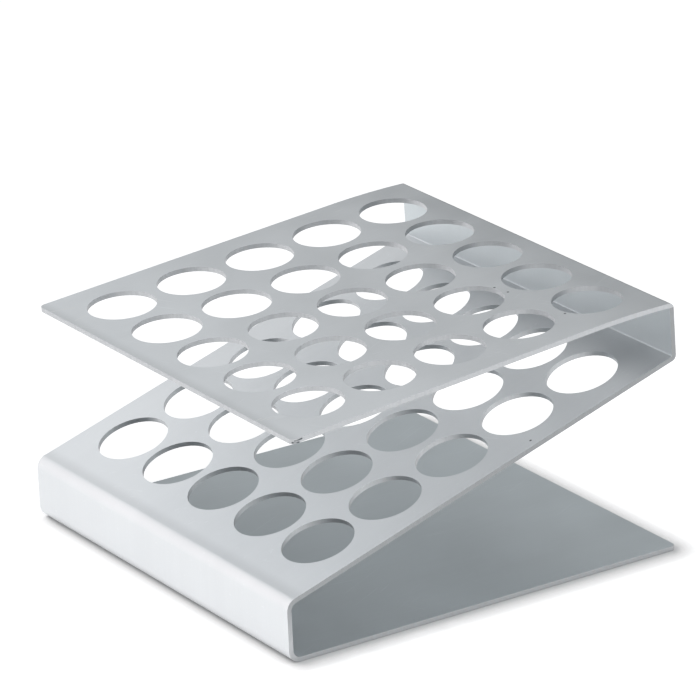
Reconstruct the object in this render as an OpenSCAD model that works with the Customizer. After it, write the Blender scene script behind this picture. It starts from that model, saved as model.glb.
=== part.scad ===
// Folded tube rack: one aluminium sheet bent into a base, a sloping middle shelf and a top shelf.
// Tubes drop through the round holes of both shelves and stand on the base.
// X runs along the folds, Y from the front wall to the rear, Z up. The origin is the middle of the
// base's underside, and the rack is symmetric about x = 0. Millimetres and degrees.

/* [Overall] */
// Width along the folds
rack_w = 186; // [100:1:320]
// Depth, from the front wall's foot to the base's rear edge
rack_depth = 190; // [120:1:320]
// Height of the top shelf along its rear fold, where it is level and highest
rack_h = 108; // [80:0.1:160]

/* [Sheet] */
// Thickness of the sheet
sheet_t = 2; // [1:0.1:3]
// Inside radius of the fold between the base and the front wall
foot_fold_r = 3.5; // [1:0.5:6]
// Inside radius of the fold between the front wall and the middle shelf
shoulder_fold_r = 3; // [1:0.5:6]
// Inside radius of the fold between the middle shelf and the rear wall
heel_fold_r = 0.5; // [0.4:0.1:3]
// Inside radius of the fold between the rear wall and the top shelf
crown_fold_r = 0.5; // [0.4:0.1:5]
// Radius of the free corners, in the sheet's plane
corner_r = 2.5; // [0.5:0.5:6]

/* [Walls and shelves] */
// Height of the front wall, to the corner it makes with the middle shelf
front_wall_h = 26; // [18:0.5:45]
// Height of the rear wall, from the corner it makes with the middle shelf to the rack's top
rear_wall_h = 23; // [16:0.1:45]
// How far the front wall leans forward
front_lean = 1.5; // [0:0.5:6]
// How far the rear wall leans forward
rear_lean = 3.5; // [0:0.5:6]
// How far the top shelf drops towards its free edge
top_tilt = 5.2; // [0:0.1:8]
// Length over which the top shelf curves from that slope to level, next to its rear fold
level_len = 36; // [4:1:60]
// Distance of the top shelf's free edge behind the front wall's foot
top_edge_y = 3.5; // [0:0.5:20]
// How far the base reaches behind the rear wall
base_reach = 0.6; // [0:0.1:20]

/* [Holes] */
// Diameter of the holes in the top shelf
hole_d = 29; // [12:0.5:42]
// Extra diameter of the middle shelf's holes, which the tubes cross at a slant
slant_extra = 1; // [0:0.1:3]
// Strip of sheet between neighbouring holes of the top shelf
web = 5; // [3:0.5:15]
// Least strip of sheet between a hole and a side edge
side_land = 8; // [4:0.5:20]
// Least strip of sheet between a hole and a fold
fold_land = 9; // [4:0.5:20]
// Shift of both hole fields towards the rear, from the middle of the middle shelf
field_shift = 1; // [0:0.1:3]

/* [Hidden] */
$fn = 96;
// Sheet colour
sheet_colour = [0.74, 0.76, 0.77];
// How far a cutter runs past the sheet on each side, and a hole's cutter past the curved shelf
cut_over = 1;
hole_over = cut_over + level_len * tan(top_tilt / 2);
// How much larger than tangent the rounding arcs are, so that each one crosses the faces it joins
crossing = 0.002;
pitch = hole_d + web;
mid_hole_d = hole_d + slant_extra;

// Unit vector at an angle in the side view, and the one square to it on its left
function along(a) = [cos(a), sin(a)];
function left_of(a) = [-sin(a), cos(a)];
// Where a fold of a face radius starts, measured back from its corner
function setback(turn, r) = r * tan(abs(turn) / 2);

// In the side view y is measured from the front corner of the base. These are the corners of the
// sheet's guiding face, from the base's underside over the front wall and the middle shelf's
// upper face to the rear wall's inner face and the top shelf's underside. The brow is where the top
// shelf's slope would meet its level end, and a wide curve takes its place
foot = [0, 0];
front_a = 90 + front_lean;
shoulder = foot + along(front_a) * front_wall_h / sin(front_a);
heel = [rack_depth - base_reach - sheet_t, rack_h - rear_wall_h];
mid_a = atan2(heel[1] - shoulder[1], heel[0] - shoulder[0]);
mid_len = norm(heel - shoulder);
rear_a = 90 + rear_lean;
top_a = 180 + top_tilt;
crown = heel + along(rear_a) * (rear_wall_h - sheet_t) / sin(rear_a);
brow = crown - [setback(180 - rear_a, crown_fold_r) + level_len / 2, 0];
top_len = (top_edge_y - brow[0]) / cos(top_a);

// The middle shelf's flat, between its two folds, and the line of the middle of both hole fields
mid_flat_start = setback(front_a - mid_a, shoulder_fold_r + sheet_t);
mid_flat_end = mid_len - setback(rear_a - mid_a, heel_fold_r);
field_on_mid = (mid_flat_start + mid_flat_end) / 2 + field_shift;
field_y = shoulder[0] + field_on_mid * cos(mid_a);
field_on_top = (field_y - brow[0]) / cos(top_a);

// The guiding face's corners, the fold at each, and the angle of each flat in turn. A level top
// shelf has no brow
sloped = top_tilt > 0;
corners = [foot, shoulder, heel, crown, if (sloped) brow];
fold_r = [foot_fold_r, shoulder_fold_r, heel_fold_r, crown_fold_r,
    if (sloped) level_len / 2 / tan(top_tilt / 2)];
angles = [180, front_a, mid_a, rear_a, 180, if (sloped) top_a];

// Both faces of the sheet as if its folds were sharp, from the base's rear edge to the top shelf's
// free edge and back
base_end = [rack_depth, 0];
top_end = brow + along(top_a) * top_len;
guiding_face = concat([base_end], corners, [top_end]);
other_face = [
    top_end - left_of(top_a) * sheet_t,
    for (k = [len(corners) - 1 : -1 : 0])
        corners[k] - (left_of(angles[k]) + left_of(angles[k + 1])) * sheet_t
            / (1 + cos(angles[k + 1] - angles[k])),
    base_end + [0, sheet_t]
];

// As many holes as the sheet takes, both ways
cols = floor((rack_w - 2 * side_land - hole_d) / pitch) + 1;
rows = floor((mid_flat_end - mid_flat_start - 2 * fold_land - mid_hole_d) / pitch) + 1;

// Triangle between a rounded corner and its sharp point, as seen from the rounding's centre, with
// the corner along X: it runs past the corner's two faces by a margin
module corner_filling(r, turn, margin) {
    half = abs(turn) / 2;
    chord_x = r * cos(half);
    chord_half = r * sin(half) + margin;
    difference() {
        polygon([[chord_x, -chord_half], [r / cos(half) + 2 * margin, 0], [chord_x, chord_half]]);
        circle(r = r + crossing);
    }
}

// Places its children at the centre of the fold at a corner, with X towards the corner
module at_fold(k) {
    turn = angles[k + 1] - angles[k];
    side = sign(turn);
    face_r = fold_r[k] + (side > 0 ? 0 : sheet_t);
    centre = corners[k] - along(angles[k]) * setback(turn, face_r) + left_of(angles[k]) * side * face_r;
    translate(centre)
        rotate((angles[k] + angles[k + 1]) / 2 - side * 90)
            children();
}

// Draws its children, shapes in the side view, right across the rack
module across(over) {
    rotate([90, 0, 90])
        linear_extrude(rack_w + 2 * over, center = true)
            children();
}

// The folded sheet with no holes: a band with sharp corners, filled inside each fold and rounded
// outside it
module folded_sheet() {
    difference() {
        union() {
            across(0)
                polygon(concat(guiding_face, other_face));
            for (k = [0 : len(corners) - 1])
                across(0)
                    at_fold(k)
                        corner_filling(fold_r[k], angles[k + 1] - angles[k], sheet_t / 4);
        }
        for (k = [0 : len(corners) - 1])
            across(cut_over)
                at_fold(k)
                    corner_filling(fold_r[k] + sheet_t, angles[k + 1] - angles[k], cut_over);
    }
}

// Places its children on the guiding face, at a distance along a shelf, with Z square to the shelf
module on_shelf(start, a, distance) {
    p = start + along(a) * distance;
    translate([0, p[0], p[1]])
        rotate([a, 0, 0])
            children();
}

// Round cutters for a field of holes in a shelf, whose middle lies at a distance along the shelf
module hole_field(start, a, middle, d) {
    on_shelf(start, a, middle)
        for (i = [0 : cols - 1])
            for (j = [0 : rows - 1])
                translate([(i - (cols - 1) / 2) * pitch, (j - (rows - 1) / 2) * pitch, -sheet_t - hole_over])
                    cylinder(d = d, h = sheet_t + 2 * hole_over);
}

// Cutter that rounds the corner of a free edge: the edge runs along X at y = 0, the sheet lies
// on its -Y side and, for a side of 1, on the -X side of the corner
module corner_cutter(side) {
    translate([side * (rack_w / 2 - corner_r), -corner_r, -sheet_t - cut_over])
        linear_extrude(sheet_t + 2 * cut_over)
            difference() {
                translate([side > 0 ? 0 : -corner_r - cut_over, 0])
                    square(corner_r + cut_over);
                circle(r = corner_r + crossing);
            }
}

module rack() {
    color(sheet_colour)
        translate([0, -rack_depth / 2, 0])
            difference() {
                folded_sheet();
                hole_field(shoulder, mid_a, field_on_mid, mid_hole_d);
                hole_field(brow, top_a, field_on_top, hole_d);
                for (side = [-1, 1]) {
                    on_shelf(brow, top_a, top_len)
                        corner_cutter(side);
                    translate([0, rack_depth, sheet_t])
                        corner_cutter(side);
                }
            }
}

rack();
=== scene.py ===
"""Looks of a tube rack folded from one aluminium sheet: finish, floor, studio light and camera.

Everything is in metres in the part's own frame: X runs along the folds, Y from the front wall to
the rear and Z up, with the origin in the middle of the base's underside.
"""
import math
from functools import reduce

import bpy
from mathutils import Matrix, Vector


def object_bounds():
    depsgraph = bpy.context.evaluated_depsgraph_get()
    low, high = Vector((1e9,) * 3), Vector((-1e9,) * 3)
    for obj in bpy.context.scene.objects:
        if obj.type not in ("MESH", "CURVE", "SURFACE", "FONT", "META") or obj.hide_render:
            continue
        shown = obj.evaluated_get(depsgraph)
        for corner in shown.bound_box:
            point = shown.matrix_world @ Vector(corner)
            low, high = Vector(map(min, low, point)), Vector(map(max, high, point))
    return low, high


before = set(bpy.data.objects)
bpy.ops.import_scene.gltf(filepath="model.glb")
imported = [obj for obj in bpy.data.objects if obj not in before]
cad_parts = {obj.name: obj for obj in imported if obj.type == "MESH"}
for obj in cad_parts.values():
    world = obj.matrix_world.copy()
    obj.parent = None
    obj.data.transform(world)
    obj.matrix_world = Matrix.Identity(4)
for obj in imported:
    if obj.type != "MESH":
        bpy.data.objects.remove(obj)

CAD_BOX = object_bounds()
MM = 0.001

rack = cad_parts["rack"]


# ---- helpers for node trees -------------------------------------------------------------------

def node_maker(tree):
    """A function that adds a node to the tree, with its settings and its inputs set or linked."""
    def add(kind, inputs=None, **settings):
        node = tree.nodes.new(kind)
        for key, value in settings.items():
            setattr(node, key, value)
        for key, value in (inputs or {}).items():
            socket = node.inputs[key]
            if isinstance(value, bpy.types.NodeSocket):
                tree.links.new(value, socket)
            else:
                socket.default_value = value
        return node
    return add


def new_material(name):
    """An empty node material and the function that adds nodes to it."""
    material = bpy.data.materials.new(name)
    material.use_nodes = True
    tree = material.node_tree
    tree.nodes.clear()
    return material, node_maker(tree)


# From here on, add is such a function, and a helper returns the output that has its result

def math_node(add, operation, *values):
    """One Math operation."""
    return add("ShaderNodeMath", dict(enumerate(values)), operation=operation).outputs[0]


def vector_math(add, operation, *values):
    """One Vector Math operation: its number where it gives one, or else its vector."""
    outputs = add("ShaderNodeVectorMath", dict(enumerate(values)), operation=operation).outputs
    return outputs["Value" if operation in ("DOT_PRODUCT", "DISTANCE", "LENGTH") else "Vector"]


def scaled(add, vector, factor):
    """A vector times a number."""
    return add("ShaderNodeVectorMath", {0: vector, "Scale": factor}, operation="SCALE").outputs[0]


def xyz(add, vector):
    """A vector's three numbers, named X, Y and Z."""
    return add("ShaderNodeSeparateXYZ", {0: vector}).outputs


def over(add, value, limit):
    """1 where the value is over the limit, 0 elsewhere."""
    return math_node(add, "GREATER_THAN", value, limit)


def under(add, value, limit):
    """1 where the value is under the limit, 0 elsewhere."""
    return math_node(add, "LESS_THAN", value, limit)


def all_of(add, *masks):
    """The product of several masks."""
    return reduce(lambda one, other: math_node(add, "MULTIPLY", one, other), masks)


def any_of(add, *masks):
    """The largest of several masks."""
    return reduce(lambda one, other: math_node(add, "MAXIMUM", one, other), masks)


def band(add, value, start, end, low=0.0, high=1.0):
    """Low where the value is at start, high where it is at end, eased between and flat outside."""
    return add("ShaderNodeMapRange", {"Value": value, "From Min": start, "From Max": end, "To Min": low,
                                      "To Max": high}, interpolation_type="SMOOTHSTEP").outputs[0]


def spread(add, value, reach, low, high):
    """A noise eased from low to high over the part of its range that is within reach of 0.5."""
    return band(add, value, 0.5 - reach, 0.5 + reach, low, high)


# A Mix node's inputs 2 and 3 are its two numbers, and 6 and 7 its two colours

def mix_value(add, share, low, high):
    """The low number where the share is 0, the high one where it is 1."""
    return add("ShaderNodeMix", {0: share, 2: low, 3: high}).outputs[0]


def mix_colour(add, share, low, high):
    """The low colour where the share is 0, the high one where it is 1."""
    return add("ShaderNodeMix", {0: share, 6: low, 7: high}, data_type="RGBA").outputs[2]


def noise(add, place, stretch, scale, detail, turn=0.0):
    """Noise in object space, turned about Z and drawn out along each axis whose stretch is below 1."""
    moved = add("ShaderNodeMapping", {"Vector": place, "Rotation": (0, 0, math.radians(turn))}).outputs[0]
    moved = vector_math(add, "MULTIPLY", moved, stretch)
    return add("ShaderNodeTexNoise", {"Vector": moved, "Scale": scale, "Detail": detail}).outputs["Fac"]


# ---- places on the sheet ----------------------------------------------------------------------

HALF_WIDTH = CAD_BOX[1][0]
SIDE_DEPTH = 1 * MM                       # a point nearer than this to a side is on the cut side
SIDE_FADE = (2 * MM, 30 * MM)             # heights between which the painted shade on the cut sides comes in
TOP_LEVEL, TOP_SLOPE = 97.6 * MM, 0.091   # the top shelf is above this height at y = 0, on this slope
TOP_END_OVER = 60 * MM                    # in the front half, only the top shelf is over this height
BASE_END_UNDER = 3 * MM                   # in the rear half, only the base is under this height
BASE_FACE_UNDER = 6 * MM                  # a face that looks up from under this height is the base's
REAR_WALL_BEHIND = 90.5 * MM
FACES_UP = (0.3, 0.9)                     # Z of a face's normal, from not looking up to looking up
FACES_FRONT = (-0.5, -0.9)                # Y of a face's normal, the same for looking to the front
SHELF_SLOPE = math.radians(11.3)          # halfway between the two shelves
FLAT_REACH = 86 * MM                      # the shelves lie between the folds, this far from the middle
CUT_SHARE = (0.3, 0.6)                    # squared part of a normal in the sheet, from broad face to cut

FRONT_PAINTED_LIGHT, REAR_PAINTED_LIGHT = 0.14, -0.06       # painted light and shade: change of tone at the two ends of the shelves
FRONT_SPAN = (-80 * MM, 10 * MM)          # where along Y the front's fades out
REAR_SPAN = (0, 85 * MM)                  # where along Y the rear's fades in
FRONT_FOLD = (-92 * MM, -86 * MM)         # in front of this there is neither
BASE_TO_SHELF = (2 * MM, 6 * MM)          # heights between which both change sign


def cut_mask(add, where):
    """1 on the sheet's cut faces (sides, ends and hole walls), 0 on its two broad faces."""
    normal = add("ShaderNodeNewGeometry").outputs["True Normal"]
    along = (0, math.cos(SHELF_SLOPE), math.sin(SHELF_SLOPE))
    sideways = vector_math(add, "DOT_PRODUCT", normal, (1, 0, 0))
    lengthways = vector_math(add, "DOT_PRODUCT", normal, along)
    # The walls' broad faces look along the shelves too, so such a face is a cut one in these places only
    shelves = under(add, math_node(add, "ABSOLUTE", where["Y"]), FLAT_REACH)
    top_end = all_of(add, under(add, where["Y"], 0.0), over(add, where["Z"], TOP_END_OVER))
    base_end = all_of(add, over(add, where["Y"], 0.0), under(add, where["Z"], BASE_END_UNDER))
    ends = all_of(add, math_node(add, "POWER", lengthways, 2.0), any_of(add, shelves, top_end, base_end))
    in_sheet = math_node(add, "ADD", math_node(add, "POWER", sideways, 2.0), ends)
    return band(add, in_sheet, *CUT_SHARE)


def top_shelf(add, where):
    """1 on the top shelf, 0 on the rest of the sheet."""
    return over(add, where["Z"], math_node(add, "MULTIPLY_ADD", where["Y"], TOP_SLOPE, TOP_LEVEL))


def painted_shade_sides(add, where):
    """Painted shade: 1 on the cut sides of the middle shelf and both walls, fading out towards the base.
    """
    side = over(add, math_node(add, "ABSOLUTE", where["X"]), HALF_WIDTH - SIDE_DEPTH)
    below_top = math_node(add, "SUBTRACT", 1.0, top_shelf(add, where))
    return all_of(add, side, band(add, where["Z"], *SIDE_FADE), below_top)


def painted_shade_faces(add, where):
    """Painted shade: 1 on the base's upper face and on the inner face of the rear wall, which are
    darkened.
    """
    normal = xyz(add, add("ShaderNodeNewGeometry").outputs["Normal"])
    base = all_of(add, under(add, where["Z"], BASE_FACE_UNDER), band(add, normal["Z"], *FACES_UP))
    wall = all_of(add, over(add, where["Y"], REAR_WALL_BEHIND), band(add, normal["Y"], *FACES_FRONT))
    return any_of(add, base, wall)


def painted_light_along_y(add, where):
    """Painted light and shade along Y: the shelves are lighter to the front and darker to the
    rear, and the base is the other way round."""
    front = band(add, where["Y"], *FRONT_SPAN, FRONT_PAINTED_LIGHT, 0)
    rear = band(add, where["Y"], *REAR_SPAN, 0, REAR_PAINTED_LIGHT)
    return all_of(add, math_node(add, "ADD", front, rear), band(add, where["Y"], *FRONT_FOLD),
                  band(add, where["Z"], *BASE_TO_SHELF, -1, 1))


# ---- marks ------------------------------------------------------------------------------------

# Points of the sheet in mm: dark pits, and dark nicks and light scrapes with two ends each
PITS = ((73.2, 53.6, 106.3), (38.7, 50.6, 106.0), (30.9, 49.5, 105.9), (89.0, 24.6, 63.7))
NICKS = (((92.6, -90.0, 92.4), (93.0, -87.0, 92.8)), ((92.2, -90.8, 91.7), (93.0, -88.4, 91.6)))
SCRAPES = (((67.6, -91.0, 93.1), (67.2, -88.4, 93.4)), ((68.9, -89.8, 93.3), (68.5, -87.0, 93.5)),
           ((70.0, -87.6, 93.5), (69.7, -84.3, 93.8)), ((-68.7, -89.0, 93.3), (-70.1, -83.4, 93.8)),
           ((-84.0, -91.3, 93.1), (-80.6, -82.0, 94.0)))
PIT_RADIUS = 0.7 * MM
NICK_WIDTH = 0.55 * MM
SCRAPE_WIDTH = 0.35 * MM
PIT_CORE, STROKE_CORE = 0.4, 0.2          # the share of that radius or width inside which a mark is full


def pit(add, place, spot):
    """1 inside a round pit."""
    away = vector_math(add, "DISTANCE", place, Vector(spot) * MM)
    return band(add, away, PIT_RADIUS, PIT_CORE * PIT_RADIUS)


def stroke(add, place, start, end, width):
    """1 on the line from one point to another, fading out across its width."""
    start, end = Vector(start) * MM, Vector(end) * MM
    span = end - start
    offset = vector_math(add, "SUBTRACT", place, start)
    share = vector_math(add, "DOT_PRODUCT", offset, span / span.length_squared)
    share = add("ShaderNodeClamp", {"Value": share}).outputs[0]
    away = vector_math(add, "DISTANCE", offset, scaled(add, span, share))
    return band(add, away, width, STROKE_CORE * width)


# ---- finish -----------------------------------------------------------------------------------

SHEET = (0.728, 0.748, 0.764, 1)
SHADED_SHEET = (0.605, 0.648, 0.668, 1)      # the same metal darkened, as painted shade
CUT = (0.56, 0.573, 0.587, 1)
SHADED_SIDE = (0.36, 0.37, 0.38, 1)              # painted shade on the cut sides
ARRIS = (0.96, 0.96, 0.955, 1)
DARK = (0.10, 0.11, 0.12, 1)              # pits and nicks
BARE = (0.86, 0.87, 0.87, 1)              # scrapes

# Noises: stretch, scale and detail
GRAIN = ((1, 0.015, 0.015), 2200, 3)      # fine lines down the sheet, from rolling
ROLLING = ((1, 0.04, 0.04), 110, 2)       # broad streaks the same way
CLOUD = ((1, 1, 1), 38, 4)                # handling marks
SHEAR = ((0.6, 1, 0.1), 1900, 2)          # lines across the thickness of the cut faces
RUBBED = ((1, 1, 1), 420, 4)              # small nicks along the broken edges
WIDE, MIDDLE, NARROW = 0.3, 0.25, 0.2     # parts of a noise's range, either side of 0.5

HAIRLINES = ((8, 900), (-27, 1200), (64, 1000))    # angle in degrees and scale of each set of scratches
HAIRLINE_STRETCH, HAIRLINE_DETAIL = (1, 0.02, 1), 1
HAIRLINE_FROM = (0.735, 0.775)            # values of the noise between which a scratch comes in

ROLLING_TONE = 0.008                      # changes of tone, the first two of them either way
CLOUD_TONE = 0.015
SCRATCH_TONE = 0.05
FACE_ROUGHNESS = (0.42, 0.5)
GRAIN_ROUGHNESS = 0.03                    # change of the faces' roughness either way
CUT_ROUGHNESS = (0.42, 0.58)
ARRIS_ROUGHNESS = (0.36, 0.5)
SCRATCH_HEIGHT = -0.6                     # beside a height of 1 for the grain
SHEET_BUMP = {"Strength": 0.12, "Distance": 0.03 * MM}
ARRIS_BUMP = {"Strength": 0.25, "Distance": 0.05 * MM}

EDGE_WIDTH = 0.5 * MM
EDGE_ANGLE = math.radians(50)             # only edges sharper than this are broken
ARRIS_SLOT = 1


def bare_metal(add, colour, rough, height, bump):
    """Makes bare metal, bumped by a height, the material's surface."""
    normal = add("ShaderNodeBump", {"Height": height, **bump}).outputs[0]
    surface = add("ShaderNodeBsdfPrincipled", {
        "Base Color": colour, "Metallic": 1, "Roughness": rough, "Normal": normal})
    add("ShaderNodeOutputMaterial", {"Surface": surface.outputs[0]})


def sheet_material():
    """Mill-finished aluminium: rolled grain down the sheet, cloudy handling marks, hairline scratches."""
    material, add = new_material("sheet")
    place = add("ShaderNodeTexCoord").outputs["Object"]
    where = xyz(add, place)
    cut = cut_mask(add, where)

    grain = noise(add, place, *GRAIN)
    rolling = noise(add, place, *ROLLING)
    cloud = noise(add, place, *CLOUD)
    shear = noise(add, place, *SHEAR)
    hairlines = [noise(add, place, HAIRLINE_STRETCH, scale, HAIRLINE_DETAIL, angle)
                 for angle, scale in HAIRLINES]
    scratch = any_of(add, *(band(add, hairline, *HAIRLINE_FROM) for hairline in hairlines))

    tone = math_node(add, "ADD", spread(add, rolling, WIDE, -ROLLING_TONE, ROLLING_TONE),
                     spread(add, cloud, MIDDLE, -CLOUD_TONE, CLOUD_TONE))
    tone = math_node(add, "ADD", tone, math_node(add, "MULTIPLY", scratch, SCRATCH_TONE))
    # painted light and shade along Y
    tone = math_node(add, "ADD", tone, painted_light_along_y(add, where))
    # Painted shade: the base's upper face and the rear wall's inner face are darkened
    face = mix_colour(add, painted_shade_faces(add, where), SHEET, SHADED_SHEET)
    face = add("ShaderNodeHueSaturation", {"Color": face, "Value": math_node(add, "ADD", tone, 1.0)})
    # painted shade on the cut sides of the middle shelf and both walls
    cut_colour = mix_colour(add, painted_shade_sides(add, where), CUT, SHADED_SIDE)
    colour = mix_colour(add, cut, face.outputs[0], cut_colour)
    light = any_of(add, *(stroke(add, place, *ends, SCRAPE_WIDTH) for ends in SCRAPES))
    dark = any_of(add, *(pit(add, place, spot) for spot in PITS),
                  *(stroke(add, place, *ends, NICK_WIDTH) for ends in NICKS))
    colour = mix_colour(add, light, colour, BARE)
    colour = mix_colour(add, dark, colour, DARK)

    face_rough = math_node(add, "ADD", spread(add, cloud, MIDDLE, *FACE_ROUGHNESS),
                           spread(add, grain, WIDE, -GRAIN_ROUGHNESS, GRAIN_ROUGHNESS))
    rough = mix_value(add, cut, face_rough, spread(add, shear, WIDE, *CUT_ROUGHNESS))
    face_height = math_node(add, "ADD", grain, math_node(add, "MULTIPLY", scratch, SCRATCH_HEIGHT))
    bare_metal(add, colour, rough, mix_value(add, cut, face_height, shear), SHEET_BUMP)
    return material


def arris_material():
    """The sheet's broken edges: brighter metal, rubbed uneven, with small nicks."""
    material, add = new_material("arris")
    rubbed = noise(add, add("ShaderNodeTexCoord").outputs["Object"], *RUBBED)
    bare_metal(add, ARRIS, spread(add, rubbed, NARROW, *ARRIS_ROUGHNESS), rubbed, ARRIS_BUMP)
    return material


rack.data.materials.clear()
rack.data.materials.append(sheet_material())
rack.data.materials.append(arris_material())

edges = rack.modifiers.new("broken_edges", "BEVEL")
edges.width = EDGE_WIDTH
edges.segments = 3
edges.limit_method = "ANGLE"
edges.angle_limit = EDGE_ANGLE
edges.material = ARRIS_SLOT


# ---- floor ------------------------------------------------------------------------------------

FLOOR_SIZE = 24
FLOOR_DROP = 0.1 * MM            # the floor is this far below the base, so that their faces don't meet
FLOOR_GLOW = 0.69
FLOOR_TONE = (0.8, 0.8, 0.8, 1)
FLOOR_IOR = 1.6
FLOOR_ROUGHNESS = 0.05
WHITE_REACH = 1.25               # distances from the origin between which the glow fades out
GREY_REACH = 3.5
SHADE_FROM = (225, 20)           # azimuth and elevation of the low light that throws the shadow
SHADE_REACH = 10 * MM
SHADE_DEPTH = 3.6                # how dark the shadow is, as a power of the light that is left
SHADE_TINT = (1.0, 0.95, 0.93, 1)
SHADE_SAMPLES = 16
CONTACT_REACH = 1.2 * MM
WHITE = (1, 1, 1, 1)


def direction(azimuth, elevation):
    """The unit vector at an azimuth from +X towards +Y and an elevation, in degrees."""
    azimuth, elevation = math.radians(azimuth), math.radians(elevation)
    return (math.cos(azimuth) * math.cos(elevation), math.sin(azimuth) * math.cos(elevation),
            math.sin(elevation))


def open_share(add, reach, **inputs):
    """The share of the directions from a point in which nothing stands within reach."""
    seen = add("ShaderNodeAmbientOcclusion", {"Distance": reach, **inputs}, samples=SHADE_SAMPLES)
    return seen.outputs["AO"]


def low_light(add):
    """How much of the low light from the left reaches a point of the floor, from 0 to 1."""
    x, y, z = direction(*SHADE_FROM)
    towards = add("ShaderNodeCombineXYZ", {"X": x, "Y": y, "Z": z}).outputs[0]
    seen = open_share(add, SHADE_REACH, Normal=towards)
    below = (1 - z) / 2          # the share of its directions that point under the floor
    above = add("ShaderNodeMapRange", {"Value": seen, "From Min": below}).outputs[0]
    shade = math_node(add, "POWER", above, SHADE_DEPTH)
    return math_node(add, "MULTIPLY", shade, open_share(add, CONTACT_REACH))


def floor_material():
    """White glossy floor: seen and reflected as white where it is lit, and darker only in shadow."""
    material, add = new_material("floor")
    path = add("ShaderNodeLightPath").outputs
    seen = any_of(add, path["Is Camera Ray"], path["Is Glossy Ray"], path["Is Transmission Ray"])
    distance = vector_math(add, "LENGTH", add("ShaderNodeNewGeometry").outputs["Position"])
    near = add("ShaderNodeMapRange", {"Value": distance, "From Min": WHITE_REACH, "From Max": GREY_REACH,
                                      "To Min": FLOOR_GLOW, "To Max": 0}).outputs[0]
    light = low_light(add)
    strength = all_of(add, seen, near, light)
    tint = mix_colour(add, light, SHADE_TINT, WHITE)
    lit = add("ShaderNodeBsdfDiffuse", {"Color": FLOOR_TONE}).outputs[0]
    glow = add("ShaderNodeEmission", {"Color": tint, "Strength": strength}).outputs[0]
    matt = add("ShaderNodeAddShader", {0: lit, 1: glow}).outputs[0]
    gloss = add("ShaderNodeBsdfGlossy", {"Color": WHITE, "Roughness": FLOOR_ROUGHNESS}).outputs[0]
    share = add("ShaderNodeFresnel", {"IOR": FLOOR_IOR}).outputs[0]
    both = add("ShaderNodeMixShader", {0: share, 1: matt, 2: gloss}).outputs[0]
    add("ShaderNodeOutputMaterial", {"Surface": both})
    return material


bpy.ops.mesh.primitive_plane_add(size=FLOOR_SIZE, location=(0, 0, -FLOOR_DROP))
floor = bpy.context.object
floor.name = "floor"
floor.data.materials.append(floor_material())


# ---- light ------------------------------------------------------------------------------------

ROOM = (0.188, 0.200, 0.205)
GLOWS = (  # azimuth from +X towards +Y, elevation, half width in degrees, strength, colour
    (222, 14, 56, 1.27, (1.0, 0.955, 0.955)),
    (168, 50, 38, 0.76, (0.985, 0.99, 1.0)),
    (20, 65, 50, 0.4, (1.0, 0.99, 0.985)),
    (50, 22, 50, 0.95, (0.99, 0.995, 1.0)),
    (318, 28, 55, 0.45, (0.99, 0.995, 1.0)),
)


def studio_world():
    """A dim even room with a few wide soft glows, each fading out smoothly from its middle."""
    world = bpy.data.worlds.new("studio")
    world.use_nodes = True
    world.node_tree.nodes.clear()
    add = node_maker(world.node_tree)
    ray = add("ShaderNodeTexCoord").outputs["Generated"]
    total = ROOM
    for azimuth, elevation, width, strength, colour in GLOWS:
        cosine = vector_math(add, "DOT_PRODUCT", ray, direction(azimuth, elevation))
        glow = band(add, cosine, math.cos(math.radians(width)), 1, 0, strength)
        total = vector_math(add, "ADD", total, scaled(add, colour, glow))
    sky = add("ShaderNodeBackground", {"Color": total}).outputs[0]
    add("ShaderNodeOutputWorld", {"Surface": sky})
    return world


bpy.context.scene.world = studio_world()


# ---- camera -----------------------------------------------------------------------------------

CAMERA_AZIMUTH = math.radians(55.87)
CAMERA_ELEVATION = math.radians(20.82)
CAMERA_ROLL = math.radians(-1.1)
CAMERA_DISTANCE = 2.105
CAMERA_TARGET = Vector((-1.25, 0, 80.45)) * MM
LENS = 266.0                     # in millimetres, as Blender has it

back = Vector((math.sin(CAMERA_AZIMUTH) * math.cos(CAMERA_ELEVATION),
               -math.cos(CAMERA_AZIMUTH) * math.cos(CAMERA_ELEVATION),
               math.sin(CAMERA_ELEVATION)))
turn = back.to_track_quat("Z", "Y").to_matrix() @ Matrix.Rotation(CAMERA_ROLL, 3, "Z")
lens = bpy.data.cameras.new("camera")
lens.lens = LENS
camera = bpy.data.objects.new("camera", lens)
camera.matrix_world = Matrix.Translation(CAMERA_TARGET + back * CAMERA_DISTANCE) @ turn.to_4x4()
bpy.context.scene.collection.objects.link(camera)
bpy.context.scene.camera = camera

bpy.context.scene.view_settings.view_transform = "Standard"

bpy.context.view_layer.update()
